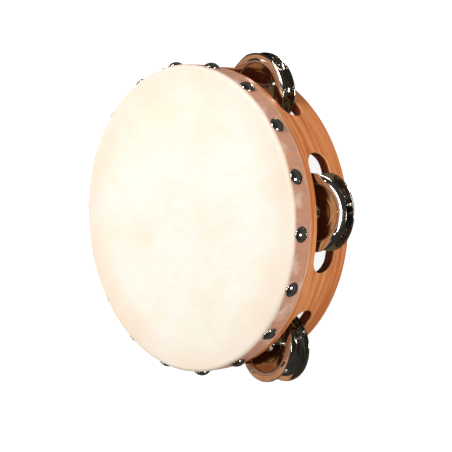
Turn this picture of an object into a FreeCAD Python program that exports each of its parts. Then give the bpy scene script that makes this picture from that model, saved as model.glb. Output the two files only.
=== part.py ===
import FreeCAD, Part
import math
import os

import Sketcher

# A hand tambourine lying on its open rim: +Z is the drum's axis, out of the head, and the origin is the
# middle of the open rim's plane. A bent wooden hoop carries a skin, tacked round its front edge. Slots
# through the hoop hold pairs of small cymbals, back to back on steel pins, one pair at each station.

V = FreeCAD.Vector
doc = FreeCAD.newDocument("tambourine")

# ---------------------------------------------------------------------------------------------------
# The driving dimensions, in millimetres and degrees
# ---------------------------------------------------------------------------------------------------

SIZES = {
    # the head and the wooden hoop
    "head_diameter": 203.2,
    "drum_depth": 51.8,
    "wall": 7.4,
    "skin_gauge": 0.7,
    "skin_band": 15.8,
    "skin_round": 2.9,
    "rim_round": 1.2,
    # the jingle slots
    "stations": 6,
    "slot_to_hem": 6.3,
    "slot_width": 17.8,
    "slot_length": 75.6,
    "slot_round": 0.6,
    # the pins
    "pin_diameter": 2.4,
    "pin_inset": 4.7,
    "pin_grip": 7.0,
    "pin_sink": 0.4,
    # the jingles
    "jingle_diameter": 49.4,
    "jingle_gauge": 0.7,
    "jingle_hole": 8.6,
    "jingle_hub": 14.8,
    "jingle_bowl": 35.6,
    "jingle_step": 0.8,
    "jingle_step_width": 1.0,
    "jingle_rise": 1.9,
    # the tacks
    "tacks": 18,
    "tack_start": -7.0,
    "tack_drop": 6.8,
    "tack_head": 10.6,
    "tack_height": 3.0,
    "tack_shank": 1.6,
    "tack_length": 6.0,
}

sheet = doc.addObject("Spreadsheet::Sheet", "Sizes")
for row, (alias, size) in enumerate(SIZES.items(), start=1):
    sheet.set("A%d" % row, alias)
    sheet.set("B%d" % row, repr(size))
    sheet.setAlias("B%d" % row, alias)
doc.recompute()

HEAD_R = "Sizes.head_diameter / 2"
WOOD_R = "(Sizes.head_diameter / 2 - Sizes.skin_gauge)"
WOOD_TOP = "(Sizes.drum_depth - Sizes.skin_gauge)"
SLOT_TOP = "(Sizes.drum_depth - Sizes.skin_band - Sizes.slot_to_hem)"
SLOT_LOW = "(Sizes.drum_depth - Sizes.skin_band - Sizes.slot_to_hem - Sizes.slot_width)"
PIN_R = "(Sizes.head_diameter / 2 - Sizes.skin_gauge - Sizes.pin_inset)"
TACK_Z = "(Sizes.drum_depth - Sizes.tack_drop)"


def size(alias):
    """The number in one cell of the sheet."""
    return float(sheet.get(alias))


def value_of(expression):
    """The number that an expression over the sheet has now."""
    return float(sheet.evalExpression(expression.replace("Sizes.", "")))


# ---------------------------------------------------------------------------------------------------
# Small helpers for bodies and sketches
# ---------------------------------------------------------------------------------------------------


def new_body(label):
    body = doc.addObject("PartDesign::Body", label)
    body.Label = label
    return body


def origin_part(body, role):
    for feature in body.Origin.OriginFeatures:
        if feature.Role == role:
            return feature
    raise RuntimeError("no origin feature with role " + role)


def new_sketch(body, name, plane):
    sketch = body.newObject("Sketcher::SketchObject", name)
    sketch.AttachmentSupport = [(origin_part(body, plane), "")]
    sketch.MapMode = "FlatFace"
    return sketch


def bind(sketch, constraint, value):
    """Add a constraint whose size follows an expression over the sheet."""
    sketch.addConstraint(constraint)
    sketch.setExpression("Constraints[%d]" % (sketch.ConstraintCount - 1), value)


def fix(sketch, geometry, position, x, y):
    """Hold one point of a sketch at x and y, each an expression over the sheet."""
    for kind, value in (("DistanceX", x), ("DistanceY", y)):
        bind(sketch, Sketcher.Constraint(kind, -1, 1, geometry, position, value_of(value)), value)


def end_of(sketch, side, point):
    """Whether a point is the start (1) or the end (2) of a side of the sketch."""
    curve = sketch.Geometry[side]
    return 1 if curve.StartPoint.distanceToPoint(point) < curve.EndPoint.distanceToPoint(point) else 2


def arc_centre(start, end, axis, place):
    """The point at one distance from both ends that lies on the line axis = place."""
    middle, across = (start + end) / 2, end - start
    square = across.x * middle.x + across.y * middle.y
    if axis == "X":
        return V(place, (square - across.x * place) / across.y, 0)
    return V((square - across.y * place) / across.x, place, 0)


def short_arc(start, end, centre):
    """The arc about the centre that turns the short way from start to end."""
    from_angle = math.atan2(start.y - centre.y, start.x - centre.x)
    to_angle = math.atan2(end.y - centre.y, end.x - centre.x)
    if (to_angle - from_angle) % (2 * math.pi) > math.pi + 1e-9:
        from_angle, to_angle = to_angle, from_angle
    circle = Part.Circle(centre, V(0, 0, 1), centre.distanceToPoint(start))
    return Part.ArcOfCircle(circle, from_angle, to_angle)


def outline(sketch, points, centres=None):
    """Draw a closed outline through the points, each a pair of expressions over the sheet.

    centres maps the number of a side to (axis, expression) where that side is an arc: the line that its
    centre lies on. An arc turns the short way round its centre.
    """
    centres = centres or {}
    corners = [V(*(value_of(part) for part in point), 0) for point in points]
    for side, start in enumerate(corners):
        end = corners[(side + 1) % len(corners)]
        if side in centres:
            axis, place = centres[side]
            centre = arc_centre(start, end, axis, value_of(place))
            sketch.addGeometry(short_arc(start, end, centre), False)
        else:
            sketch.addGeometry(Part.LineSegment(start, end), False)
    for side in range(len(corners)):
        follows = (side + 1) % len(corners)
        ends = (end_of(sketch, side, corners[follows]), end_of(sketch, follows, corners[follows]))
        sketch.addConstraint(Sketcher.Constraint("Coincident", side, ends[0], follows, ends[1]))
    for side, (x, y) in enumerate(points):
        fix(sketch, side, end_of(sketch, side, corners[side]), x, y)
    for side, (axis, place) in centres.items():
        bind(sketch, Sketcher.Constraint("Distance" + axis, -1, 1, side, 3, value_of(place)), place)


def disc(sketch, x, y, diameter):
    """Draw a circle at x and y, expressions over the sheet."""
    centre = V(value_of(x), value_of(y), 0)
    sketch.addGeometry(Part.Circle(centre, V(0, 0, 1), value_of(diameter) / 2), False)
    fix(sketch, 0, 3, x, y)
    bind(sketch, Sketcher.Constraint("Diameter", 0, value_of(diameter)), diameter)


def revolve(body, sketch, axis="V_Axis"):
    feature = body.newObject("PartDesign::Revolution", body.Label + "_turned")
    feature.Profile = sketch
    feature.ReferenceAxis = (sketch, [axis])
    feature.Angle = 360.0
    return feature


def cut_outward(body, sketch, name):
    """Cut a sketch's outline from its plane outwards, along the plane's normal."""
    feature = body.newObject("PartDesign::Pocket", name)
    feature.Profile = sketch
    feature.Type = "ThroughAll"
    feature.Reversed = True
    return feature


def repeat(body, features, count, name):
    """Repeat features round the drum's axis."""
    pattern = body.newObject("PartDesign::PolarPattern", name)
    pattern.Originals = features
    pattern.Axis = (origin_part(body, "Z_Axis"), [""])
    pattern.Angle = 360.0
    pattern.setExpression("Occurrences", count)
    body.Tip = pattern
    return pattern


def soften(body, base, edges, radius, name):
    """Round the named edges of a feature."""
    feature = body.newObject("PartDesign::Fillet", name)
    feature.Base = (base, edges)
    feature.setExpression("Radius", radius)
    body.Tip = feature
    return feature


def edges_where(shape, test):
    return ["Edge%d" % number for number, edge in enumerate(shape.Edges, start=1) if test(edge)]


def circle_at(radius, height):
    """A test for the whole circles of a turned piece that have this radius and height."""

    def test(edge):
        box = edge.BoundBox
        return (
            abs(box.ZMax - height) < 1e-3
            and abs(box.ZMin - height) < 1e-3
            and abs(box.XLength / 2 - radius) < 1e-2
        )

    return test


def tack_plane(sketch, depth):
    """Turn a sketch on the YZ plane to face the first tack, with its plane at a depth from the axis."""
    angle = "Sizes.tack_start * 1 deg"
    sketch.AttachmentOffset = FreeCAD.Placement(V(0, 0, 0), FreeCAD.Rotation(V(0, 1, 0), 1))
    sketch.setExpression("AttachmentOffset.Rotation.Angle", angle)
    sketch.setExpression("AttachmentOffset.Base.x", "(%s) * sin(%s)" % (depth, angle))
    sketch.setExpression("AttachmentOffset.Base.z", "(%s) * cos(%s)" % (depth, angle))


# ---------------------------------------------------------------------------------------------------
# The wooden hoop, with its slots, pin holes and tack holes
# ---------------------------------------------------------------------------------------------------


def make_hoop():
    body = new_body("shell_hoop")
    section = new_sketch(body, "hoop_section", "XZ_Plane")
    inner = WOOD_R + " - Sizes.wall"
    outline(section, [(inner, "0"), (WOOD_R, "0"), (WOOD_R, WOOD_TOP), (inner, WOOD_TOP)])
    ring = revolve(body, section)
    doc.recompute()

    outer_r, inner_r = value_of(WOOD_R), value_of(inner)
    top = value_of(WOOD_TOP)
    shoulder = edges_where(ring.Shape, circle_at(outer_r, top))
    shouldered = soften(body, ring, shoulder, "Sizes.skin_round - Sizes.skin_gauge", "hoop_shoulder")
    doc.recompute()
    rims = [circle_at(outer_r, 0), circle_at(inner_r, 0), circle_at(inner_r, top)]
    edges = edges_where(shouldered.Shape, lambda edge: any(test(edge) for test in rims))
    soften(body, shouldered, edges, "Sizes.rim_round", "hoop_rims")
    doc.recompute()

    slot = new_sketch(body, "slot_outline", "YZ_Plane")
    half = "(Sizes.slot_length - Sizes.slot_width) / 2"
    low, high = SLOT_LOW, SLOT_TOP
    corners = [("-" + half, low), (half, low), (half, high), ("-" + half, high)]
    outline(slot, corners, {1: ("X", half), 3: ("X", "-" + half)})
    slot_cut = cut_outward(body, slot, "slot")

    hole = new_sketch(body, "pin_hole_outline", "XY_Plane")
    disc(hole, PIN_R, "0", "Sizes.pin_diameter")
    hole_cut = body.newObject("PartDesign::Pocket", "pin_hole")
    hole_cut.Profile = hole
    hole_cut.Type = "Length"
    hole_cut.Reversed = True
    hole_cut.setExpression("Length", SLOT_TOP + " + Sizes.pin_grip")
    doc.recompute()
    slots = repeat(body, [slot_cut, hole_cut], "Sizes.stations", "slots")
    doc.recompute()

    tack = new_sketch(body, "tack_hole_outline", "YZ_Plane")
    disc(tack, "0", TACK_Z, "Sizes.tack_shank")
    tack_plane(tack, HEAD_R + " - Sizes.tack_length")
    tack_cut = cut_outward(body, tack, "tack_hole")
    doc.recompute()
    drilled = repeat(body, [tack_cut], "Sizes.tacks", "tack_holes")
    doc.recompute()

    low_z, high_z = value_of(low), value_of(high)
    soften(body, drilled, slot_edges(drilled.Shape, outer_r, low_z, high_z), "Sizes.slot_round", "slot_lips")
    return body


def slot_edges(shape, radius, low, high):
    """The edges round the slots' outer mouths."""

    def test(edge):
        box = edge.BoundBox
        first, last = edge.ParameterRange
        points = [edge.valueAt(first + (last - first) * share) for share in (0, 0.3, 0.6, 1)]
        on_wall = all(abs(math.hypot(point.x, point.y) - radius) < 0.05 for point in points)
        return on_wall and box.ZMin > low - 0.1 and box.ZMax < high + 0.1

    return edges_where(shape, test)


# ---------------------------------------------------------------------------------------------------
# The skin and its tacks
# ---------------------------------------------------------------------------------------------------


def make_skin():
    """A skin over the hoop's front, round its shoulder and a little way down its side."""
    body = new_body("skin_head")
    section = new_sketch(body, "skin_section", "XZ_Plane")
    hem = "Sizes.drum_depth - Sizes.skin_band"
    corners = [
        ("0", WOOD_TOP),
        (WOOD_R, WOOD_TOP),
        (WOOD_R, hem),
        (HEAD_R, hem),
        (HEAD_R, "Sizes.drum_depth"),
        ("0", "Sizes.drum_depth"),
    ]
    outline(section, corners)
    turned = revolve(body, section)
    doc.recompute()
    outer = edges_where(turned.Shape, circle_at(value_of(HEAD_R), size("drum_depth")))
    rounded = soften(body, turned, outer, "Sizes.skin_round", "skin_shoulder")
    doc.recompute()
    inner = edges_where(rounded.Shape, circle_at(value_of(WOOD_R), value_of(WOOD_TOP)))
    soften(body, rounded, inner, "Sizes.skin_round - Sizes.skin_gauge", "skin_inside")
    doc.recompute()

    tack = new_sketch(body, "tack_hole_outline", "YZ_Plane")
    disc(tack, "0", TACK_Z, "Sizes.tack_shank")
    tack_plane(tack, HEAD_R + " - Sizes.tack_length")
    tack_cut = cut_outward(body, tack, "tack_hole")
    doc.recompute()
    repeat(body, [tack_cut], "Sizes.tacks", "tack_holes")
    return body


def make_tacks():
    """Domed tacks through the skin into the hoop: each a head with a shank, all alike."""
    body = new_body("head_tacks")
    body.AllowCompound = True
    section = new_sketch(body, "tack_section", "XZ_Plane")
    tip = HEAD_R + " - Sizes.tack_length"
    crown = HEAD_R + " + Sizes.tack_height"
    corners = [
        (tip, TACK_Z),
        (crown, TACK_Z),
        (HEAD_R, TACK_Z + " + Sizes.tack_head / 2"),
        (HEAD_R, TACK_Z + " + Sizes.tack_shank / 2"),
        (tip, TACK_Z + " + Sizes.tack_shank / 2"),
    ]
    outline(section, corners, {1: ("Y", TACK_Z)})
    tack = revolve(body, section, "Edge1")
    doc.recompute()
    repeat(body, [tack], "Sizes.tacks", "tacks_round")
    body.Placement = FreeCAD.Placement(V(0, 0, 0), FreeCAD.Rotation(V(0, 0, 1), 1))
    body.setExpression("Placement.Rotation.Angle", "Sizes.tack_start * 1 deg")
    return body


# ---------------------------------------------------------------------------------------------------
# The stations: a pin, a front jingle and a back jingle each
# ---------------------------------------------------------------------------------------------------

# How each jingle lies on its pin. Its hub's middle is out from the pin and along the hoop by shares of the
# play in its hole, and above the slot's middle by a share of the free width there. Its lean out of the
# head's plane and its roll are shares of the tilt that the free width leaves it.
LYING = {
    1: {"front": (-0.806, 0.097, 0.684, 0.901, 0), "back": (0.258, 0.097, -0.427, -0.601, -0.075)},
    2: {"front": (-0.806, -0.323, 0.051, -0.300, 0.075), "back": (-0.613, -0.581, -0.427, -0.300, 0.375)},
    3: {"front": (-0.840, 0.130, -0.250, 0.375, 0), "back": (-0.780, -0.100, -0.800, 0.225, 0)},
    4: {"front": (-0.323, -0.161, 0.513, 0.375, 0.075), "back": (0.161, 0.323, -0.513, -0.300, 0.150)},
    5: {"front": (-0.840, -0.100, -0.250, 0.375, 0), "back": (-0.780, 0.100, -0.800, 0.225, 0)},
    6: {"front": (0, -0.806, 0.171, -0.601, 0), "back": (0.806, 0.323, -0.513, 0.150, 0.075)},
}


def make_pin(station, angle):
    """A steel pin driven up from the open rim, across the slot and into the wood above it."""
    pin = doc.addObject("Part::Cylinder", "jingle_pin_%d" % station)
    pin.Label = "jingle_pin_%d" % station
    pin.setExpression("Radius", "Sizes.pin_diameter / 2")
    pin.setExpression("Height", SLOT_TOP + " + Sizes.pin_grip - Sizes.pin_sink")
    pin.setExpression("Placement.Base.x", "%s * cos(%r deg)" % (PIN_R, angle))
    pin.setExpression("Placement.Base.y", "%s * sin(%r deg)" % (PIN_R, angle))
    pin.setExpression("Placement.Base.z", "Sizes.pin_sink")
    return pin


def make_jingle(label):
    """A small cymbal: a flat flange, a step up to a bowl and a flat hub with a loose hole.

    Its rim lies in its own XY plane and it bulges towards +Z.
    """
    body = new_body(label)
    section = new_sketch(body, label + "_section", "XZ_Plane")
    rim, bowl = "Sizes.jingle_diameter / 2", "Sizes.jingle_bowl / 2"
    foot = "Sizes.jingle_bowl / 2 + Sizes.jingle_step_width"
    hub, hole = "Sizes.jingle_hub / 2", "Sizes.jingle_hole / 2"
    gauge, step = "Sizes.jingle_gauge", "Sizes.jingle_step"
    crown = "Sizes.jingle_step + Sizes.jingle_rise"
    under = [(rim, "0"), (foot, "0"), (bowl, step), (hub, crown), (hole, crown)]
    over = [(x, y + " + " + gauge) for x, y in reversed(under)]
    outline(section, under + over, {2: ("X", hub), 6: ("X", hub)})
    revolve(body, section)
    return body


def lay(body, angle, side, lying):
    """Put a jingle on its pin as it lies at rest, a front one with its bowl to the back."""
    out, along, above, lean, roll = lying
    hub_middle = size("jingle_step") + size("jingle_rise") + size("jingle_gauge") / 2
    play = (size("jingle_hole") - size("pin_diameter")) / 2
    free = size("slot_width") / 2 - hub_middle
    tilt = math.degrees(math.atan2(free, size("jingle_diameter") / 2))
    turn = FreeCAD.Rotation(V(0, 1, 0), lean * tilt) * FreeCAD.Rotation(V(1, 0, 0), roll * tilt)
    if side == "front":
        turn = turn * FreeCAD.Rotation(V(1, 0, 0), 180)
    slot_middle = value_of(SLOT_TOP) - size("slot_width") / 2
    hub = V(value_of(PIN_R) + out * play, along * play, slot_middle + above * free)
    around = FreeCAD.Placement(V(0, 0, 0), FreeCAD.Rotation(V(0, 0, 1), angle))
    own = FreeCAD.Placement(V(0, 0, -hub_middle), FreeCAD.Rotation())
    body.Placement = around * FreeCAD.Placement(hub, turn) * own


def make_stations():
    pieces = []
    count = int(size("stations"))
    for station in range(1, count + 1):
        angle = 360.0 / count * (station - 1)
        pieces.append(make_pin(station, angle))
        for side in ("front", "back"):
            jingle = make_jingle("jingle_%d_%s" % (station, side))
            lay(jingle, angle, side, LYING[(station - 1) % len(LYING) + 1][side])
            pieces.append(jingle)
    return pieces


# ---------------------------------------------------------------------------------------------------
# Build, check and write the pieces
# ---------------------------------------------------------------------------------------------------


def check(pieces):
    """Stop if any object failed, or any piece isn't a sound solid."""
    for thing in doc.Objects:
        if "Invalid" in thing.State or "Error" in thing.State:
            raise RuntimeError("%s failed: %s" % (thing.Label, thing.State))
    for piece in pieces:
        shape = piece.Shape
        if shape.isNull() or not shape.isValid() or not shape.Solids:
            raise RuntimeError(piece.Label + " isn't a sound solid")


def check_cuts(hoop, skin, tacks):
    """Stop if a slot or a tack is missing: their number and the wood left tell."""
    ring = math.pi * (value_of(WOOD_R) ** 2 - (value_of(WOOD_R) - size("wall")) ** 2) * value_of(WOOD_TOP)
    slot = size("wall") * size("slot_width") * (size("slot_length") - size("slot_width"))
    if hoop.Shape.Volume > ring - size("stations") * slot:
        raise RuntimeError("a slot doesn't cut the hoop")
    if len(tacks.Shape.Solids) != int(size("tacks")):
        raise RuntimeError("the tacks aren't separate solids")
    if len(hoop.Shape.Solids) != 1 or len(skin.Shape.Solids) != 1:
        raise RuntimeError("the hoop or the skin came apart")


def main():
    hoop, skin, tacks = make_hoop(), make_skin(), make_tacks()
    pieces = [hoop, skin, tacks] + make_stations()
    doc.recompute()
    check(pieces)
    check_cuts(hoop, skin, tacks)
    os.makedirs("parts", exist_ok=True)
    for piece in pieces:
        piece.Shape.exportStep(os.path.join("parts", piece.Label + ".step"))
        print("%-18s %8.1f mm3" % (piece.Label, piece.Shape.Volume))


main()
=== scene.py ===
"""A hand tambourine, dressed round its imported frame.

The drum lies on its open rim with its axis along +Z. A bent wooden hoop carries a skin head, held by
domed tacks, and pairs of small cymbals hang loose on pins across the hoop's slots. Lengths are in metres.
"""

from __future__ import annotations

import logging
import math
from dataclasses import dataclass, field
from enum import Enum

import bmesh
import bpy
import numpy as np
from mathutils import Matrix, Vector


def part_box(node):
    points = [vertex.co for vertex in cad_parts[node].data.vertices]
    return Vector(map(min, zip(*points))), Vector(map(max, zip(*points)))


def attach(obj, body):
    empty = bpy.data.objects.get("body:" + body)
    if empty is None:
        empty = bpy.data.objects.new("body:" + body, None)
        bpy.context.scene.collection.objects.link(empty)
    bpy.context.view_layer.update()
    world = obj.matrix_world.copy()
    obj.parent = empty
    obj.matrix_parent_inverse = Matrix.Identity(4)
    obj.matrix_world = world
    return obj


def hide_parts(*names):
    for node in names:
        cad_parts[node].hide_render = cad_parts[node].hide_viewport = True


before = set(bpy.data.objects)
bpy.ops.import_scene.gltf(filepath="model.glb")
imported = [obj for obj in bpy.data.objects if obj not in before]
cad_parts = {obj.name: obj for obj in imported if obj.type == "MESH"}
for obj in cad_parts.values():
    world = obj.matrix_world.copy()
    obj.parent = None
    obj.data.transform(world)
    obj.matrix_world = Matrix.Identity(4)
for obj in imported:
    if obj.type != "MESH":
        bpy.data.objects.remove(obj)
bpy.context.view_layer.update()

log = logging.getLogger("tambourine")

MM = 0.001
TURN = 2 * math.pi
Colour = tuple[float, float, float, float]


def rgb(red: float, green: float, blue: float) -> Colour:
    """Turn a colour of screen values into a linear one, by the sRGB curve.

    Args:
        red: The red part, from 0 to 255.
        green: The green part.
        blue: The blue part.

    Returns:
        The linear colour, with full alpha.
    """
    linear = [
        ((part / 255 + 0.055) / 1.055) ** 2.4 if part > 10 else part / 3294
        for part in (red, green, blue)
    ]
    return (linear[0], linear[1], linear[2], 1.0)


# ------------------------------------------------------------------------------
# Shader maths
# ------------------------------------------------------------------------------


class Signal:
    """A value in a shader that Python's own operators reckon with."""

    def __init__(self, shader: Shader, socket: bpy.types.NodeSocket) -> None:
        """Wrap an output socket of one of the shader's nodes."""
        self.shader = shader
        self.socket = socket

    def __add__(self, other: Value) -> Signal:
        """Add."""
        return self.shader.maths("ADD", self, other)

    def __radd__(self, other: Value) -> Signal:
        """Add to a number."""
        return self.shader.maths("ADD", other, self)

    def __sub__(self, other: Value) -> Signal:
        """Take away."""
        return self.shader.maths("SUBTRACT", self, other)

    def __rsub__(self, other: Value) -> Signal:
        """Take away from a number."""
        return self.shader.maths("SUBTRACT", other, self)

    def __mul__(self, other: Value) -> Signal:
        """Multiply."""
        return self.shader.maths("MULTIPLY", self, other)

    def __rmul__(self, other: Value) -> Signal:
        """Multiply a number."""
        return self.shader.maths("MULTIPLY", other, self)

    def __truediv__(self, other: Value) -> Signal:
        """Divide."""
        return self.shader.maths("DIVIDE", self, other)

    def __rtruediv__(self, other: Value) -> Signal:
        """Divide a number."""
        return self.shader.maths("DIVIDE", other, self)

    def __pow__(self, other: Value) -> Signal:
        """Raise to a power."""
        return self.shader.maths("POWER", self, other)

    def __abs__(self) -> Signal:
        """Drop the sign."""
        return self.shader.maths("ABSOLUTE", self)

    def ramp(self, low: float, high: float, bottom: float = 0.0, top: float = 1.0) -> Signal:
        """Map low..high smoothly to bottom..top and hold the ends.

        Args:
            low: The value that becomes bottom.
            high: The value that becomes top; it may be less than low.
            bottom: The result at low.
            top: The result at high.

        Returns:
            The mapped value.
        """
        if low > high:
            low, high, bottom, top = high, low, top, bottom
        settings = {"interpolation_type": "SMOOTHSTEP"}
        sockets = {"Value": self, "From Min": low, "From Max": high, "To Min": bottom, "To Max": top}
        return self.shader.value("ShaderNodeMapRange", "Result", settings, sockets)


Value = Signal | float | int


class Shader:
    """A material's node tree, with its finish on one principled surface."""

    def __init__(self, name: str) -> None:
        """Start an empty material.

        Args:
            name: The material's name.
        """
        self.material = bpy.data.materials.new(name)
        self.material.use_nodes = True
        self.tree = self.material.node_tree
        self.tree.nodes.clear()

    def node(
        self, kind: str, settings: dict | None = None, sockets: dict | None = None
    ) -> bpy.types.Node:
        """Add a node.

        Args:
            kind: The node's type.
            settings: Its own properties, which are set first.
            sockets: A value, colour or signal for each named or numbered input.

        Returns:
            The node.
        """
        node = self.tree.nodes.new(kind)
        for key, setting in (settings or {}).items():
            setattr(node, key, setting)
        for key, given in (sockets or {}).items():
            socket = node.inputs[key]
            if isinstance(given, Signal):
                self.tree.links.new(given.socket, socket)
            else:
                socket.default_value = given
        return node

    def value(
        self, kind: str, output: str | int, settings: dict | None = None, sockets: dict | None = None
    ) -> Signal:
        """Add a node and give one of its outputs."""
        return Signal(self, self.node(kind, settings, sockets).outputs[output])

    def maths(self, operation: str, *values: Value) -> Signal:
        """Add a Math node on one, two or three values."""
        sockets = dict(enumerate(values))
        return self.value("ShaderNodeMath", "Value", {"operation": operation}, sockets)

    def position(self) -> Signal:
        """Give the surface point in the object's own coordinates."""
        return self.value("ShaderNodeTexCoord", "Object")

    def parts(self, vector: Signal) -> tuple[Signal, Signal, Signal]:
        """Split a vector into its three numbers."""
        node = self.node("ShaderNodeSeparateXYZ", None, {0: vector})
        return Signal(self, node.outputs[0]), Signal(self, node.outputs[1]), Signal(self, node.outputs[2])

    def vector(self, x: Value, y: Value, z: Value) -> Signal:
        """Join three numbers into a vector."""
        return self.value("ShaderNodeCombineXYZ", 0, None, {0: x, 1: y, 2: z})

    def noise(self, vector: Signal, scale: float, detail: float = 4.0, rough: float = 0.5) -> Signal:
        """Give fractal noise about 0.5 at the vector."""
        sockets = {"Vector": vector, "Scale": scale, "Detail": detail, "Roughness": rough}
        return self.value("ShaderNodeTexNoise", "Fac", {"noise_dimensions": "3D"}, sockets)

    def mix(self, factor: Value, first: Signal | Colour, second: Signal | Colour) -> Signal:
        """Blend two colours.

        Args:
            factor: The share of the second colour, held between 0 and 1.
            first: The colour at 0.
            second: The colour at 1.

        Returns:
            The blended colour.
        """
        settings = {"data_type": "RGBA", "clamp_factor": True}
        node = self.node("ShaderNodeMix", settings, {"Factor": factor})
        for socket, colour in ((node.inputs[6], first), (node.inputs[7], second)):
            if isinstance(colour, Signal):
                self.tree.links.new(colour.socket, socket)
            else:
                socket.default_value = colour
        return Signal(self, node.outputs[2])

    def bump(self, height: Signal, depth: float, strength: float = 1.0) -> Signal:
        """Turn a height from 0 to 1 into a normal, for a relief of that depth in metres."""
        sockets = {"Height": height, "Distance": depth, "Strength": strength}
        return self.value("ShaderNodeBump", "Normal", None, sockets)

    def finish(self, sockets: dict) -> bpy.types.Material:
        """Close the tree with a principled surface.

        Args:
            sockets: A value or signal for each of the surface's inputs that isn't left as it is.

        Returns:
            The finished material.
        """
        surface = self.node("ShaderNodeBsdfPrincipled", None, sockets)
        output = self.node("ShaderNodeOutputMaterial")
        self.tree.links.new(surface.outputs[0], output.inputs["Surface"])
        return self.material


# ------------------------------------------------------------------------------
# Surfaces on grids
# ------------------------------------------------------------------------------


def grid_faces(rows: int, columns: int, round_rows: bool, round_columns: bool) -> np.ndarray:
    """Number the corners of the faces of a grid of points.

    Args:
        rows: How many rows of points there are.
        columns: How many points a row has.
        round_rows: Whether the last row joins the first.
        round_columns: Whether each row's last point joins its first.

    Returns:
        An array with four point numbers for each face.
    """
    row = np.arange(rows if round_rows else rows - 1)
    column = np.arange(columns if round_columns else columns - 1)
    i, j = np.meshgrid(row, column, indexing="ij")
    down, right = (i + 1) % rows, (j + 1) % columns
    corners = [i * columns + j, down * columns + j, down * columns + right, i * columns + right]
    return np.stack(corners, axis=-1).reshape(-1, 4)


@dataclass
class Surface:
    """Grids of points that are gathered and closed into one mesh."""

    points: list[np.ndarray] = field(default_factory=list)
    faces: list[np.ndarray] = field(default_factory=list)
    count: int = 0

    def add(self, grid: np.ndarray, round_rows: bool = False, round_columns: bool = False) -> None:
        """Add a grid of points.

        Args:
            grid: Points of shape (rows, columns, 3).
            round_rows: Whether the last row joins the first.
            round_columns: Whether each row's last point joins its first.
        """
        rows, columns = grid.shape[:2]
        self.points.append(grid.reshape(-1, 3))
        self.faces.append(grid_faces(rows, columns, round_rows, round_columns) + self.count)
        self.count += rows * columns

    def piece(self, name: str, merge: float = 0.002 * MM) -> bpy.types.Object:
        """Make the object: seams and poles are merged, and its faces point outwards and shade smoothly.

        Args:
            name: The piece's name.
            merge: Points nearer to each other than this become one.

        Returns:
            The new object, in the scene.
        """
        mesh = bpy.data.meshes.new(name)
        mesh.from_pydata(np.concatenate(self.points).tolist(), [], np.concatenate(self.faces).tolist())
        work = bmesh.new()
        work.from_mesh(mesh)
        bmesh.ops.remove_doubles(work, verts=work.verts, dist=merge)
        bmesh.ops.dissolve_degenerate(work, edges=work.edges, dist=merge)
        bmesh.ops.recalc_face_normals(work, faces=work.faces)
        work.to_mesh(mesh)
        work.free()
        mesh.polygons.foreach_set("use_smooth", np.ones(len(mesh.polygons), bool))
        mesh.update()
        made = bpy.data.objects.new(name, mesh)
        bpy.context.scene.collection.objects.link(made)
        return made


def turned(radius: np.ndarray, height: np.ndarray, angle: np.ndarray) -> np.ndarray:
    """Turn a profile round the Z axis: x = radius cos(angle), y = radius sin(angle), z = height.

    Args:
        radius: The profile's radii, one a row, or one for each point of the grid.
        height: The profile's heights, in the same way.
        angle: The angles of the grid's columns.

    Returns:
        Points of shape (rows, columns, 3).
    """
    if radius.ndim == 1:
        radius, height = radius[:, None], height[:, None]
    x = radius * np.cos(angle)
    y = radius * np.sin(angle)
    return np.stack([x, y, np.broadcast_to(height, x.shape)], axis=-1)


def placed(points: np.ndarray, axes: np.ndarray, origin: np.ndarray) -> np.ndarray:
    """Carry points from their own axes, the rows of axes, to an origin in the frame."""
    return points @ axes + origin


def smooth(value: np.ndarray, low: float, high: float) -> np.ndarray:
    """Rise smoothly from 0 at low to 1 at high: 3 t squared less 2 t cubed."""
    part = np.clip((value - low) / (high - low), 0.0, 1.0)
    return part * part * (3 - 2 * part)


def arc(centre: tuple[float, float], radius: float, start: float, end: float, count: int) -> np.ndarray:
    """Give points on an arc about a centre, from one angle in degrees to another.

    Args:
        centre: The arc's centre, as radius and height.
        radius: The arc's own radius.
        start: The first point's angle.
        end: The last point's angle.
        count: How many points there are.

    Returns:
        Points of shape (count, 2).
    """
    angle = np.radians(np.linspace(start, end, count))
    return np.stack([centre[0] + radius * np.cos(angle), centre[1] + radius * np.sin(angle)], axis=-1)


def line(start: tuple[float, float], end: tuple[float, float], count: int) -> np.ndarray:
    """Give evenly spaced points from start to end, both with them."""
    return np.linspace(start, end, count)


# ------------------------------------------------------------------------------
# Finishes
# ------------------------------------------------------------------------------


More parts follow.
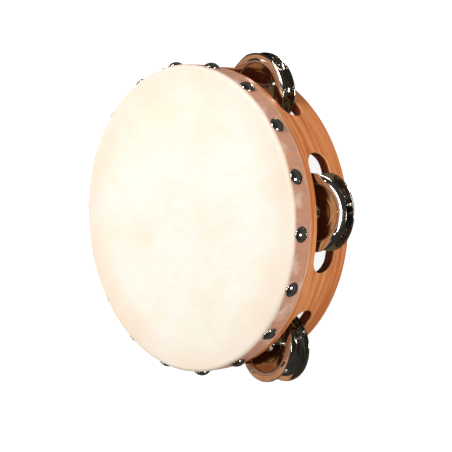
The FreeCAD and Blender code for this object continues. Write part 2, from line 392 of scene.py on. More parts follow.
@dataclass(frozen=True)
class BentWood:
    """Varnished wood whose grain runs round the hoop, darker in the routed slots, partly a stain and
    partly painted shade.
    """

    outer: float
    inner: float
    top: float
    joint_angle: float
    light: Colour = rgb(234, 158, 98)
    middle: Colour = rgb(220, 132, 74)
    # dark is a grain colour, and also the painted shade along the rear rim.
    dark: Colour = rgb(190, 98, 46)
    # cut is the deep brown of the pores, the glued joint and the stained slot walls, where it also stands
    # for painted shade.
    cut: Colour = rgb(112, 34, 14)
    # A painted highlight for the slots' lips.
    lip_highlight: Colour = rgb(246, 190, 132)
    drift_scale: tuple[float, float] = (9.0, 60.0)
    ribbon_scale: tuple[float, float] = (14.0, 320.0)
    fibre_scale: tuple[float, float] = (60.0, 1900.0)
    pore_scale: tuple[float, float] = (170.0, 2600.0)
    relief: float = 0.12 * MM

    def material(self) -> bpy.types.Material:
        """Build the wood.

        The grain is noise on (length round the hoop, depth in the wall, height), stretched along the
        first. The hoop's glued joint is a thin line across it, where that length starts and ends.

        Returns:
            The material.
        """
        shader = Shader("varnished_bent_wood")
        at = shader.position()
        turn = {"vector_type": "POINT"}
        sockets = {"Vector": at, "Rotation": (0.0, 0.0, math.pi - self.joint_angle)}
        x, y, z = shader.parts(shader.value("ShaderNodeMapping", 0, turn, sockets))
        radius = shader.maths("SQRT", x * x + y * y)
        round_it = shader.maths("ARCTAN2", y, x) * self.outer

        def grain(scale: tuple[float, float], detail: float, rough: float, shift: Value = 0.0) -> Signal:
            """Give noise that is stretched along the grain.

            Args:
                scale: The noise's scale along the grain and across it.
                detail: How many finer layers it has.
                rough: How strong they are.
                shift: What is added to its height.

            Returns:
                The noise, about 0.5.
            """
            along, across = scale
            stretched = shader.vector(round_it * along, radius * across, z * across + shift)
            return shader.noise(stretched, 1.0, detail, rough)

        drift = grain(self.drift_scale, 3.0, 0.5)
        ribbon = grain(self.ribbon_scale, 4.0, 0.6, drift * 2.6)
        fibre = grain(self.fibre_scale, 3.0, 0.6, drift * 7.0)
        pores = grain(self.pore_scale, 1.0, 0.5)
        base = shader.mix(ribbon.ramp(0.32, 0.68), self.light, self.dark)
        base = shader.mix(drift.ramp(0.3, 0.7) * 0.55, base, self.middle)
        base = shader.mix(fibre.ramp(0.5, 0.72) * 0.35, base, self.dark)
        base = shader.mix(pores.ramp(0.62, 0.74) * 0.4, base, self.cut)
        base = self.paint_shade_and_highlight(shader, base, radius, z, drift)
        seam = (math.pi * self.outer - abs(round_it)).ramp(0.4 * MM, 0.1 * MM)
        base = shader.mix(seam * 0.75, base, self.cut)
        height = fibre * 0.5 + pores.ramp(0.8, 0.6) * 0.3 + ribbon * 0.2 - seam
        return shader.finish({
            "Base Color": base,
            "Roughness": (ribbon * 0.12 + fibre * 0.1).ramp(0.0, 0.22, 0.28, 0.46),
            "Normal": shader.bump(height, self.relief, 0.5),
            "Specular IOR Level": 0.3,
            "Coat Weight": 0.08,
            "Coat Roughness": 0.25,
        })

    def paint_shade_and_highlight(self, shader: Shader, base: Signal, radius: Signal, z: Signal, drift: Signal) -> Signal:
        """Paint light and shade on the wood: darker within the slots, partly a stain and partly painted
        shade; a painted shade along the rear rim; a painted highlight on the slots' lips.

        Args:
            shader: The wood's shader.
            base: The wood's colour so far.
            radius: The distance from the drum's axis.
            z: The height.
            drift: A slow noise that breaks the edges up.

        Returns:
            The new colour.
        """
        depth = self.outer - radius
        back = radius - self.inner
        off_rims = z.ramp(1.6 * MM, 3.0 * MM) * z.ramp(self.top - 1.6 * MM, self.top - 3.0 * MM)
        # Within the slots the wood is darkened: partly a stain, partly painted shade.
        slot_stain_and_shade = depth.ramp(0.7 * MM, 1.6 * MM) * back.ramp(0.3 * MM, 0.9 * MM) * off_rims
        base = shader.mix(slot_stain_and_shade * (0.80 + drift * 0.2), base, self.cut)
        # A lighter line along the slots' lips is a painted highlight.
        lip = depth.ramp(0.04 * MM, 0.2 * MM) * depth.ramp(0.9 * MM, 0.5 * MM) * off_rims
        base = shader.mix(lip * 0.75, base, self.lip_highlight)
        # Darker along the rear rim, where the drum rests on the floor: painted shade.
        rear = z.ramp(1.4 * MM, 0.2 * MM)
        return shader.mix(rear * 0.55, base, self.dark)


@dataclass(frozen=True)
class DrumSkin:
    """Pale natural skin, thin enough for the wood to tint it where it lies on the hoop."""

    radius: float
    top: float
    band: float
    face: Colour = rgb(251, 244, 229)
    cloud: Colour = rgb(248, 234, 210)
    rim: Colour = rgb(242, 216, 195)
    side: Colour = rgb(212, 153, 118)
    side_cool: Colour = rgb(198, 146, 124)
    hem: Colour = rgb(236, 204, 166)
    relief: float = 0.22 * MM

    def material(self) -> bpy.types.Material:
        """Build the skin: mottled on the face, flushed towards the rim, beige and streaked on the side.

        Returns:
            The material.
        """
        shader = Shader("stretched_skin")
        at = shader.position()
        x, y, z = shader.parts(at)
        radius = shader.maths("SQRT", x * x + y * y)
        angle = shader.maths("ARCTAN2", y, x)
        cloud = shader.noise(at, 22.0, 5.0, 0.55)
        spots = shader.noise(at, 95.0, 4.0, 0.6)
        grain = shader.noise(at, 1400.0, 3.0, 0.6)
        vein = shader.noise(shader.vector(x * 30.0 + cloud * 2.0, y * 70.0, z * 40.0), 1.0, 5.0, 0.65)
        face = shader.mix(cloud.ramp(0.42, 0.68) * 0.8, self.face, self.cloud)
        face = shader.mix(spots.ramp(0.56, 0.72) * 0.35, face, self.cloud)
        face = shader.mix(abs(vein - 0.5).ramp(0.03, 0.0) * 0.18, face, self.rim)
        near_rim = radius.ramp(self.radius * 0.70, self.radius * 0.985)
        face = shader.mix(near_rim * (0.25 + cloud * 0.5), face, self.rim)
        streak = shader.noise(shader.vector(angle * 34.0, cloud * 1.5, z * 40.0), 1.0, 4.0, 0.6)
        side = shader.mix(streak.ramp(0.35, 0.65), self.side, self.side_cool)
        side = shader.mix(spots.ramp(0.5, 0.7) * 0.4, side, self.cloud)
        hem_line = self.top - self.band
        near_hem = z.ramp(hem_line + 1.2 * MM, hem_line + 0.4 * MM)
        side = shader.mix(near_hem * 0.7, side, self.hem)
        over = z.ramp(self.top - 0.6 * MM, self.top - 3.2 * MM)
        base = shader.mix(over, face, side)
        height = grain * 0.35 + spots * 0.4 + streak * 0.25 * over
        return shader.finish({
            "Base Color": base,
            "Roughness": spots.ramp(0.3, 0.7, 0.50, 0.66),
            "Normal": shader.bump(height, self.relief, 0.35),
            "Specular IOR Level": 0.35,
            "Subsurface Weight": 0.45,
            "Subsurface Radius": (1.0, 0.75, 0.55),
            "Subsurface Scale": 0.0012,
        })


class Polish(Enum):
    """How finely a metal piece was finished."""

    JINGLE = "jingle"
    TACK = "tack"
    WIRE = "wire"


@dataclass(frozen=True)
class Nickel:
    """Bright nickel plate or steel, with faint smears and the marks of its making."""

    polish: Polish
    tone: Colour = rgb(222, 218, 210)
    tarnish: Colour = rgb(176, 160, 138)
    roughness: float = 0.07
    smear: float = 0.10
    relief: float = 0.01 * MM

    def material(self) -> bpy.types.Material:
        """Build the metal.

        Returns:
            The material.
        """
        shader = Shader(f"bright_metal_{self.polish.value}")
        at = shader.position()
        smear = shader.noise(at, 70.0, 4.0, 0.6)
        fine = shader.noise(at, 2600.0, 2.0, 0.5)
        base = shader.mix(smear.ramp(0.45, 0.75) * 0.5, self.tone, self.tarnish)
        rough = smear.ramp(0.4, 0.75, self.roughness, self.roughness + self.smear)
        return shader.finish({
            "Base Color": base,
            "Metallic": 1.0,
            "Roughness": rough,
            "Normal": shader.bump(fine * 0.5 + smear * 0.5, self.relief, 0.3),
        })


# ------------------------------------------------------------------------------
# The hoop
# ------------------------------------------------------------------------------


@dataclass
class Hoop:
    """The bent wooden hoop, one sector for each slot, all alike.

    Every sector is a sheet with a rounded slot in it, wrapped on the outer and the inner cylinder. Its
    columns run round the slot, and its rows go from the sector's edge over the outer face, round the
    slot's lip, through the wall and back out over the inner face.
    """

    wall: float = 7.4 * MM
    shoulder: float = 2.2 * MM
    rim_round: float = 1.2 * MM
    slot_middle: float = 20.8 * MM
    slot_width: float = 17.8 * MM
    slot_length: float = 75.6 * MM
    lip: float = 0.7 * MM
    inner_lip: float = 0.4 * MM
    stations: int = 6
    joint_angle: float = math.radians(210)
    corner_steps: int = 12
    side_steps: int = 24
    straight_steps: int = 30
    face_rows: int = 9

    def __post_init__(self) -> None:
        """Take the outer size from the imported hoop."""
        low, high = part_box("shell_hoop")
        self.outer = (high.x - low.x) / 2
        self.inner = self.outer - self.wall
        self.top = high.z

    def outline(self) -> tuple[np.ndarray, np.ndarray, np.ndarray]:
        """Work out the slot's middle line and the directions that its outline lies in from there.

        A fan of directions at each end covers the round end, and passes through the sector's corners.

        Returns:
            The anchors along the hoop, and the directions along and up, one for each column.
        """
        half = (self.slot_length - self.slot_width) / 2
        reach = (math.pi / self.stations - math.asin(half / self.outer)) * self.outer
        up = math.atan2(self.top - self.shoulder - self.slot_middle, reach)
        down = math.atan2(self.rim_round - self.slot_middle, reach)
        fan = np.concatenate([
            np.linspace(-math.pi / 2, down, self.corner_steps, endpoint=False),
            np.linspace(down, up, self.side_steps, endpoint=False),
            np.linspace(up, math.pi / 2, self.corner_steps, endpoint=False),
        ])
        straight = np.linspace(half, -half, self.straight_steps, endpoint=False)
        anchors = np.concatenate([np.full(fan.size, half), straight, np.full(fan.size, -half), -straight])
        mirrored = math.pi - fan[::-1]
        first_left = np.concatenate([[math.pi / 2], mirrored[:-1]])
        upward = np.full(straight.size, math.pi / 2)
        angle = np.concatenate([fan, upward, first_left, -upward])
        return anchors, np.cos(angle), np.sin(angle)

    def edge(
        self, anchors: np.ndarray, along: np.ndarray, up: np.ndarray
    ) -> tuple[np.ndarray, np.ndarray]:
        """Follow each direction from its anchor to the sector's edge.

        The nearest crossing of anchor + t (along, up) with the two side lines and the two rims.

        Args:
            anchors: The anchors along the hoop.
            along: The directions' parts along the hoop.
            up: The directions' parts up.

        Returns:
            The angles and heights on the sector's edge.
        """
        start = np.arcsin(anchors / self.outer)
        limit = math.pi / self.stations
        ceiling, floor = self.top - self.shoulder, self.rim_round
        with np.errstate(divide="ignore", invalid="ignore"):
            sideways = (np.sign(along) * limit - start) * self.outer / along
            upright = np.where(up > 0, ceiling - self.slot_middle, floor - self.slot_middle) / up
        sideways = np.where(np.abs(along) < 1e-9, np.inf, sideways)
        upright = np.where(np.abs(up) < 1e-9, np.inf, upright)
        far = np.minimum(sideways, upright)
        return start + far * along / self.outer, self.slot_middle + far * up

    def sector(self) -> Surface:
        """Build one sector, centred on the X axis.

        Returns:
            The sector's grids.
        """
        anchors, along, up = self.outline()
        edge_angle, edge_height = self.edge(anchors, along, up)
        inner_height = self.rim_round + (edge_height - self.rim_round) * (
            (self.top - 2 * self.rim_round) / (self.top - self.shoulder - self.rim_round)
        )
        share = np.linspace(1, 0, self.face_rows)
        quarter = np.radians(np.linspace(0, 90, 6))[1:]
        outer_lip = [
            (0.0, self.lip * (1 - math.sin(a)), self.outer - self.lip * (1 - math.cos(a)))
            for a in quarter
        ]
        inner_lip = [
            (0.0, self.inner_lip * (1 - math.sin(a)), self.inner + self.inner_lip * (1 - math.cos(a)))
            for a in quarter[::-1]
        ]
        depths = np.linspace(outer_lip[-1][2], inner_lip[0][2], 7)[1:-1]
        through = [(0.0, 0.0, radius) for radius in depths]
        rows = [(part, self.lip, self.outer) for part in share] + outer_lip + through
        rows += inner_lip + [(part, self.inner_lip, self.inner) for part in share[::-1]]
        middle = len(share) + len(outer_lip) + len(through) / 2
        angles, heights, radii = [], [], []
        for number, (part, offset, radius) in enumerate(rows):
            reach = self.slot_width / 2 + offset
            slot_angle = np.arcsin((anchors + reach * along) / radius)
            slot_height = self.slot_middle + reach * up
            far_height = edge_height if number < middle else inner_height
            angles.append(slot_angle + part * (edge_angle - slot_angle))
            heights.append(slot_height + part * (far_height - slot_height))
            radii.append(np.full(anchors.size, radius))
        surface = Surface()
        surface.add(turned(np.array(radii), np.array(heights), np.array(angles)), round_columns=True)
        self.add_rims(surface, edge_angle, edge_height)
        return surface

    def add_rims(self, surface: Surface, angle: np.ndarray, height: np.ndarray) -> None:
        """Join the outer and inner faces over the front and the rear of the sector.

        Args:
            surface: The sector's grids, which these are added to.
            angle: The angles on the sector's edge.
            height: The heights on the sector's edge.
        """
        ceiling = self.top - self.shoulder
        round_rim = self.rim_round
        front = np.concatenate([
            arc((self.outer - self.shoulder, ceiling), self.shoulder, 0, 90, 8),
            arc((self.inner + round_rim, self.top - round_rim), round_rim, 90, 180, 6),
        ])
        rear = np.concatenate([
            arc((self.inner + round_rim, round_rim), round_rim, 180, 270, 6),
            arc((self.outer - round_rim, round_rim), round_rim, 270, 360, 6),
        ])
        for profile, level in ((front, ceiling), (rear, round_rim)):
            columns = np.sort(angle[np.abs(height - level) < 1e-7])
            surface.add(turned(profile[:, 0], profile[:, 1], columns))

    def build(self) -> bpy.types.Object:
        """Make the whole hoop and dress it.

        Returns:
            The hoop.
        """
        sector = self.sector()
        whole = Surface()
        for station in range(self.stations):
            angle = TURN * station / self.stations
            turn = np.array(Matrix.Rotation(angle, 3, "Z")).T
            for points, faces in zip(sector.points, sector.faces):
                whole.points.append(points @ turn)
                whole.faces.append(faces + whole.count)
            whole.count += sector.count
        hoop = whole.piece("bent_hoop")
        finish = BentWood(self.outer, self.inner, self.top, self.joint_angle)
        hoop.data.materials.append(finish.material())
        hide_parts("shell_hoop")
        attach(hoop, "drum")
        return hoop


# ------------------------------------------------------------------------------
# The head and its tacks
# ------------------------------------------------------------------------------


@dataclass
class TackRing:
    """The row of tacks round the side of the head."""

    count: int = 18
    start: float = math.radians(-7)
    radius: float = 5.3 * MM
    height: float = 3.0 * MM
    brim: float = 0.35 * MM
    hollow: float = 0.1 * MM
    lean: float = 0.025

    def __post_init__(self) -> None:
        """Take the head's size and the tacks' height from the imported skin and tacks."""
        low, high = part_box("skin_head")
        self.head_radius = (high.x - low.x) / 2
        low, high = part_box("head_tacks")
        self.level = (low.z + high.z) / 2

    def angles(self) -> np.ndarray:
        """Give the tacks' angles round the drum."""
        return self.start + np.arange(self.count) * TURN / self.count

    def dome(self) -> np.ndarray:
        """Build one tack head about its own Z axis, from its crown to the middle of its underside.

        Returns:
            Points of shape (rows, columns, 3).
        """
        brim = self.brim
        rise = self.height - brim
        ball = (self.radius**2 + rise**2) / (2 * rise)
        spread = math.degrees(math.asin(self.radius / ball))
        crown = arc((0.0, self.height - ball), ball, 90, 90 - spread, 12)
        edge = arc((self.radius - brim / 2, brim / 2), brim / 2, 40, -90, 5)
        under = line((self.radius * 0.85, self.hollow), (0.0, self.hollow), 3)
        profile = np.concatenate([crown, edge, under])
        return turned(profile[:, 0], profile[:, 1], np.linspace(0, TURN, 40, endpoint=False))

    def build(self) -> bpy.types.Object:
        """Make all the tack heads as one piece, each a little off true.

        Returns:
            The tack heads.
        """
        chance = np.random.default_rng(7)
        dome = self.dome()
        surface = Surface()
        for angle in self.angles():
            tilt = chance.normal(0, self.lean, 2)
            outward = np.array([math.cos(angle), math.sin(angle), 0.0])
            along = np.array([-math.sin(angle), math.cos(angle), 0.0])
            axis = outward + along * tilt[0] + np.array([0, 0, tilt[1]])
            axis /= np.linalg.norm(axis)
            side = np.cross([0, 0, 1], axis)
            side /= np.linalg.norm(side)
            origin = outward * self.head_radius + np.array([0, 0, self.level])
            axes = np.array([side, np.cross(axis, side), axis])
            surface.add(placed(dome, axes, origin), round_columns=True)
        tacks = surface.piece("tack_heads")
        tacks.data.materials.append(Nickel(Polish.TACK, roughness=0.06, smear=0.08).material())
        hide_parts("head_tacks")
        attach(tacks, "drum")
        return tacks


@dataclass
class Head:
    """The skin over the front of the hoop, round its shoulder and down its side to a trimmed hem."""

    tacks: TackRing
    gauge: float = 0.7 * MM
    shoulder: float = 2.9 * MM
    face_wave: float = 0.10 * MM
    face_sink: float = 0.10 * MM
    puff: float = 0.22 * MM
    dimple: float = 0.16 * MM
    dimple_reach: float = 5.5 * MM
    hem_wave: float = 0.35 * MM

    def __post_init__(self) -> None:
        """Take the head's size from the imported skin."""
        low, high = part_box("skin_head")
        self.radius = (high.x - low.x) / 2
        self.top = high.z
        self.hem = low.z

    def profile(self) -> tuple[np.ndarray, np.ndarray]:
        """Work out the skin's section, from the middle of its face out, down, round the hem and back.

        Returns:
            The radii and heights, and for each whether it is on the skin's outer side.
        """
        ring, top, thin = self.radius - self.shoulder, self.top, self.gauge
        corner = (ring, top - self.shoulder)
        face = np.stack([ring * np.linspace(0, 1, 26) ** 0.8, np.full(26, top)], axis=-1)
        outer = np.concatenate([
            face[:-1],
            arc(corner, self.shoulder, 90, 0, 10)[:-1],
            line((self.radius, top - self.shoulder), (self.radius, self.hem + thin / 2), 16)[:-1],
            arc((self.radius - thin / 2, self.hem + thin / 2), thin / 2, 0, -90, 4),
        ])
        inner = np.concatenate([
            arc((self.radius - thin / 2, self.hem + thin / 2), thin / 2, -90, -180, 4)[1:],
            line((self.radius - thin, self.hem + thin), (self.radius - thin, top - self.shoulder), 8),
            arc(corner, self.shoulder - thin, 0, 90, 8)[1:],
            np.stack([ring * np.linspace(1, 0, 18)[1:] ** 0.8, np.full(17, top - thin)], axis=-1),
        ])
        outside = np.concatenate([np.ones(len(outer)), np.zeros(len(inner))])
        return np.concatenate([outer, inner]), outside

    def shape(self) -> np.ndarray:
        """Turn the section round the drum and pull it about.

        The face's height gains face_wave times a few waves cos(m angle + phase) (radius / edge)^m, and
        sinks by face_sink in the middle. The side puffs out by puff (1 - cos(n (angle - first tack))) / 2
        between n tacks, and sinks by dimple exp(-(distance / dimple_reach)^2) under each. The hem's height
        wanders by hem_wave times a sum of sines.

        Returns:
            Points of shape (rows, columns, 3).
        """
        profile, outside = self.profile()
        angle = np.linspace(0, TURN, 432, endpoint=False)
        radius, height = np.broadcast_arrays(profile[:, :1], profile[:, 1:])
        radius = np.repeat(radius, angle.size, axis=1)
        height = np.repeat(height, angle.size, axis=1)
        outside = outside[:, None]
        share = radius / self.radius
        face = smooth(height, self.top - self.shoulder, self.top)
        wave = sum(
            weight * np.cos(lobes * angle + phase) * share**lobes * (1 - share**6)
            for lobes, phase, weight in ((2, 0.6, 1.0), (3, 2.1, 0.8), (5, 4.0, 0.7), (7, 1.2, 0.5))
        )
        height = height + face * (self.face_wave * wave - self.face_sink * (1 - share**2))
        between = (1 - np.cos(self.tacks.count * (angle - self.tacks.start))) / 2
        near = (angle - self.tacks.start + math.pi / self.tacks.count) % (TURN / self.tacks.count)
        sideways = (near - math.pi / self.tacks.count) * self.radius
        gap = np.hypot(sideways, height - self.tacks.level)
        side = smooth(self.top - height, 0.2 * MM, self.shoulder)
        pull = self.puff * between * side * (0.6 + 0.4 * np.sin(7 * angle + 1.0) * np.sin(3 * angle))
        dent = self.dimple * np.exp(-((gap / self.dimple_reach) ** 2)) * side
        radius = radius + outside * (pull - dent)
        low = smooth(self.top - self.shoulder - height, 2 * MM, self.top - self.shoulder - self.hem)
        wander = 0.5 * np.sin(5 * angle + 1) + 0.35 * np.sin(11 * angle + 2)
        wander = wander + 0.3 * np.sin(26 * angle + 0.5)
        height = height + low * self.hem_wave * (wander + 0.5 - 0.5 * between)
        return turned(radius, height, angle)

    def build(self) -> bpy.types.Object:
        """Make the skin and dress it.

        Laid flat it is a disc, whose radius runs from the middle over the shoulder to the hem.

        Returns:
            The skin.
        """
        surface = Surface()
        surface.add(self.shape(), round_columns=True)
        skin = surface.piece("drum_skin")
        skin.data.materials.append(DrumSkin(self.radius, self.top, self.top - self.hem).material())
        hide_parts("skin_head")
        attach(skin, "drum")
        bend = math.pi / 2 * self.shoulder
        cut = self.radius - self.shoulder + bend + self.top - self.shoulder - self.hem
        2 * cut
        2 * cut
        math.pi * cut**2
        return skin


# ------------------------------------------------------------------------------
# Jingles and pins
# ------------------------------------------------------------------------------


@dataclass
class Jingle:
    """A small cymbal: a flat flange, a step up to a bowl and a flat hub with a loose hole."""

    node: str
    finish: bpy.types.Material
    gauge: float = 0.7 * MM
    hole: float = 4.3 * MM
    hub: float = 7.4 * MM
    bowl: float = 17.8 * MM
    step: float = 0.8 * MM
    step_width: float = 1.0 * MM
    rise: float = 1.9 * MM
    dish: float = 0.26 * MM
    bead: float = 0.06 * MM
    groove: float = 0.06 * MM
    groove_width: float = 0.35 * MM
    wobble: float = 0.035 * MM
    rim_share: float = 0.97
    bulge_share: float = 0.4

    def resting_place(self) -> tuple[np.ndarray, np.ndarray, float]:
        """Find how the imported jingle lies, from its own points.

        The rim is the points farthest from the middle. Its plane is the one with the least spread, and
        its middle and radius solve 2 c.p + (r squared - c squared) = p squared in that plane.

        Returns:
            The three axes as rows, the last towards the bulge; the middle of the rim; the radius.
        """
        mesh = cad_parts[self.node].data
        points = np.empty(len(mesh.vertices) * 3)
        mesh.vertices.foreach_get("co", points)
        points = np.unique(points.reshape(-1, 3).round(7), axis=0)
        middle = (points.min(0) + points.max(0)) / 2
        far = np.linalg.norm(points - middle, axis=1)
        rim = points[far > self.rim_share * far.max()]
        centre = rim.mean(0)
        axes = np.linalg.svd(rim - centre)[2]
        flat = (rim - centre) @ axes[:2].T
        terms = np.column_stack([2 * flat, np.ones(len(flat))])
        solved = np.linalg.lstsq(terms, (flat**2).sum(1), rcond=None)[0]
        radius = math.sqrt(solved[2] + solved[0] ** 2 + solved[1] ** 2)
        centre = centre + solved[:2] @ axes[:2]
        off = points - centre
        near = np.linalg.norm(off, axis=1) < self.bulge_share * radius
        if (off[near] @ axes[2]).mean() < 0:
            axes[2] = -axes[2]
        if np.linalg.det(axes) < 0:
            axes[0] = -axes[0]
        return axes, centre, radius

    def rise_at(self, radius: np.ndarray, rim: float) -> np.ndarray:
        """Give the height of the hollow side over the flange at each radius.

        A smooth step, then the bowl, level at the hub: rise (1 - t squared) with t from 1 at the step to
        0 at the hub. The flange is dished to the hollow side by sin(pi s), with s from 0 at the step to 1
        at the rim, and a bead runs at its edge.

        Args:
            radius: The distances from the jingle's axis.
            rim: The jingle's radius.

        Returns:
            The heights.
        """
        ledge = self.step * (1 - smooth(radius, self.bowl, self.bowl + self.step_width))
        part = np.clip((radius - self.hub) / (self.bowl - self.hub), 0, 1)
        start = self.bowl + self.step_width
        flange = np.clip((radius - start) / (rim - start), 0, 1)
        brim = self.bead * smooth(flange, 0.86, 0.94) - self.dish * np.sin(math.pi * flange)
        groove = -self.groove * np.exp(-(((radius - 0.5 * rim) / self.groove_width) ** 2))
        return ledge + self.rise * (1 - part**2) + brim + groove

    def build(self) -> bpy.types.Object:
        """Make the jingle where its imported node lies, and dress it.

        Returns:
            The jingle.
        """
        axes, centre, rim = self.resting_place()
        half = self.gauge / 2
        across = np.concatenate([
            np.linspace(self.hole + half, self.hub, 6, endpoint=False),
            np.linspace(self.hub, self.bowl, 26, endpoint=False),
            np.linspace(self.bowl, self.bowl + self.step_width, 8, endpoint=False),
            np.linspace(self.bowl + self.step_width, rim - half, 14),
        ])
        height = self.rise_at(across, rim)
        outer_edge = arc((rim - half, 0.0), half, -90, 90, 7)[1:-1]
        inner_edge = arc((self.hole + half, height[0]), half, 90, 270, 7)[1:-1]
        hollow = np.stack([across, height - half], axis=-1)
        bulge = np.stack([across, height + half], axis=-1)[::-1]
        profile = np.concatenate([hollow, outer_edge, bulge, inner_edge])
        angle = np.linspace(0, TURN, 120, endpoint=False)
        seed = sum(ord(letter) for letter in self.node)
        ripple = np.sin(3 * angle + seed) * np.cos(2 * angle + 0.7 * seed)
        local = turned(profile[:, 0], profile[:, 1], angle)
        local[..., 2] += self.wobble * (profile[:, :1] / rim) * ripple
        surface = Surface()
        surface.add(placed(local, axes, centre), round_rows=True, round_columns=True)
        made = surface.piece(self.node + "_cymbal")
        made.data.materials.append(self.finish)
        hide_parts(self.node)
        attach(made, self.node)
        return made


@dataclass
class Pins:
    """The steel pins across the slots, which stay as packed and are given their finish."""

    stations: int

    def dress(self) -> list[bpy.types.Object]:
        """Give every pin its metal.

        Returns:
            The pins.
        """
        metal = Nickel(Polish.WIRE, tone=rgb(214, 212, 208), roughness=0.16, smear=0.12).material()
        pins = [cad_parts[f"jingle_pin_{station}"] for station in range(1, self.stations + 1)]
        for pin in pins:
            for place in pin.material_slots:
                place.material = metal
        return pins


# ------------------------------------------------------------------------------
# The studio
# ------------------------------------------------------------------------------


@dataclass(frozen=True)
class SoftBox:
    """A square soft light that looks at the drum."""

    name: str
    place: tuple[float, float, float]
    size: float
    power: float
    tint: tuple[float, float, float] = (1.0, 1.0, 1.0)

    def build(self, target: Vector) -> bpy.types.Object:
        """Make the light.

        Args:
            target: The point that it faces.

        Returns:
            The light.
        """
        lamp = bpy.data.lights.new(self.name, "AREA")
        lamp.shape = "SQUARE"
        lamp.size = self.size
        lamp.energy = self.power
        lamp.color = self.tint
        made = bpy.data.objects.new(self.name, lamp)
        made.location = target + Vector(self.place)
        made.rotation_mode = "QUATERNION"
        made.rotation_quaternion = (-Vector(self.place)).to_track_quat("-Z", "Y")
        bpy.context.scene.collection.objects.link(made)
        return made


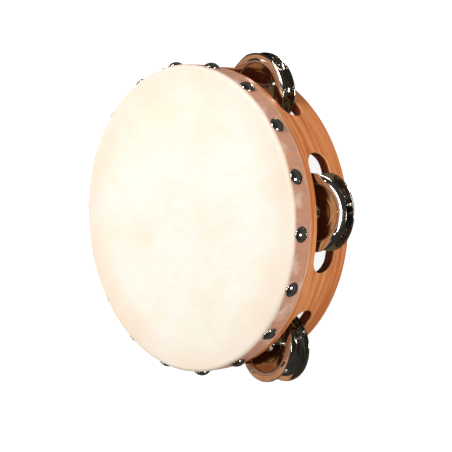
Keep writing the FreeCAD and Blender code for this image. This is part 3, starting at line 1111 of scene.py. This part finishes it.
@dataclass
class Studio:
    """A pale floor, soft lights and the camera."""

    head_radius: float
    middle: Vector
    azimuth: float = math.radians(1.62)
    elevation: float = math.radians(43.65)
    roll: float = math.radians(94.08)
    distance: float = 8.526
    aim: tuple[float, float, float] = (0.1475, -0.0625, 0.255)
    lens: float = 103.5
    floor_reach: float = 4.0
    floor_drop: float = 0.15 * MM
    white: Colour = (0.9, 0.9, 0.9, 1.0)
    floor_tone: Colour = (0.5, 0.5, 0.5, 1.0)
    shade: Colour = (0.03, 0.03, 0.03, 1.0)
    room: tuple[Colour, float] = ((0.80, 0.80, 0.84, 1.0), 0.42)
    dim: tuple[Colour, float] = ((0.62, 0.55, 0.52, 1.0), 0.06)
    backdrop: tuple[Colour, float] = ((1.0, 1.0, 1.0, 1.0), 1.0)
    lights: tuple[SoftBox, ...] = (
        SoftBox("key_box", (0.05, 0.75, 1.0), 0.34, 8.2),
        SoftBox("fill_box", (-0.40, 0.15, 1.15), 0.34, 3.8),
        SoftBox("front_box", (1.25, -0.25, 0.2), 0.30, 7.2),
        SoftBox("warm_card", (-0.85, -0.05, 0.75), 0.70, 0.9, (1.0, 0.48, 0.22)),
        SoftBox("side_box", (-1.15, 0.55, 0.5), 0.24, 1.3),
        SoftBox("low_card", (-1.0, -0.8, 0.5), 0.60, 1.3),
    )

    def camera(self) -> bpy.types.Object:
        """Place the camera, out from its aim by azimuth and elevation, then rolled about its view.

        Returns:
            The camera.
        """
        level = math.cos(self.elevation)
        back = Vector(
            (level * math.cos(self.azimuth), level * math.sin(self.azimuth), math.sin(self.elevation))
        )
        side = (-back).cross(Vector((0, 0, 1))).normalized()
        upright = side.cross(-back)
        up = upright * math.cos(self.roll) + side * math.sin(self.roll)
        right = (-back).cross(up)
        target = Vector(self.aim) * self.head_radius
        data = bpy.data.cameras.new("camera")
        data.lens = self.lens
        data.sensor_width = 36.0
        data.clip_start, data.clip_end = 0.01, 50.0
        made = bpy.data.objects.new("camera", data)
        turn = Matrix((right, up, back)).transposed().to_4x4()
        made.matrix_world = Matrix.Translation(target + back * self.distance * self.head_radius) @ turn
        bpy.context.scene.collection.objects.link(made)
        bpy.context.scene.camera = made
        return made

    def floor(self) -> bpy.types.Object:
        """Lay a large plain floor just under the drum, white to the eye and dimmer to the metal.

        Returns:
            The floor.
        """
        shader = Shader("pale_floor")
        seen = shader.value("ShaderNodeLightPath", "Is Camera Ray")
        mirrored = shader.value("ShaderNodeLightPath", "Is Glossy Ray")
        lit = {"Roughness": 0.9, "Specular IOR Level": 0.1, "Emission Strength": 1.0}
        lit["Base Color"] = shader.mix(mirrored, self.floor_tone, self.shade)
        lit["Emission Color"] = shader.mix(seen, self.shade, self.white)
        side = np.linspace(-self.floor_reach, self.floor_reach, 9)
        x, y = np.meshgrid(side, side, indexing="ij")
        surface = Surface()
        surface.add(np.stack([x, y, np.full(x.shape, -self.floor_drop)], axis=-1))
        made = surface.piece("floor")
        made.data.materials.append(shader.finish(lit))
        return made

    def world(self) -> None:
        """Light the room dimly for the metal to mirror, behind a pale backdrop."""
        world = bpy.data.worlds.new("room")
        world.use_nodes = True
        nodes, links = world.node_tree.nodes, world.node_tree.links
        nodes.clear()
        backgrounds = []
        for colour, strength in (self.room, self.dim, self.backdrop):
            background = nodes.new("ShaderNodeBackground")
            background.inputs["Color"].default_value = colour
            background.inputs["Strength"].default_value = strength
            backgrounds.append(background)
        room, dim, backdrop = backgrounds
        path = nodes.new("ShaderNodeLightPath")
        mirrored = nodes.new("ShaderNodeMixShader")
        mix = nodes.new("ShaderNodeMixShader")
        output = nodes.new("ShaderNodeOutputWorld")
        links.new(path.outputs["Is Glossy Ray"], mirrored.inputs[0])
        links.new(room.outputs[0], mirrored.inputs[1])
        links.new(dim.outputs[0], mirrored.inputs[2])
        links.new(path.outputs["Is Camera Ray"], mix.inputs[0])
        links.new(mirrored.outputs[0], mix.inputs[1])
        links.new(backdrop.outputs[0], mix.inputs[2])
        links.new(mix.outputs[0], output.inputs["Surface"])
        bpy.context.scene.world = world

    def build(self) -> None:
        """Set up the camera, the lights and the floor."""
        scene = bpy.context.scene
        scene.view_settings.view_transform = "Standard"
        self.camera()
        self.world()
        self.floor()
        for box in self.lights:
            box.build(self.middle)


def report(made: bpy.types.Object) -> None:
    """Log a finished piece."""
    log.info("%-24s %6d faces", made.name, len(made.data.polygons))


def main() -> None:
    """Build the tambourine's pieces in order, then the studio."""
    logging.basicConfig(level=logging.INFO, format="%(name)s: %(message)s")
    hoop = Hoop()
    tacks = TackRing()
    report(hoop.build())
    report(Head(tacks).build())
    report(tacks.build())
    jingle_metal = Nickel(Polish.JINGLE, roughness=0.05, smear=0.12, relief=0.006 * MM).material()
    for station in range(1, hoop.stations + 1):
        for side in ("front", "back"):
            report(Jingle(f"jingle_{station}_{side}", jingle_metal).build())
    for pin in Pins(hoop.stations).dress():
        report(pin)
    Studio(tacks.head_radius, Vector((0, 0, tacks.level / 2))).build()


if __name__ == "__main__":
    main()
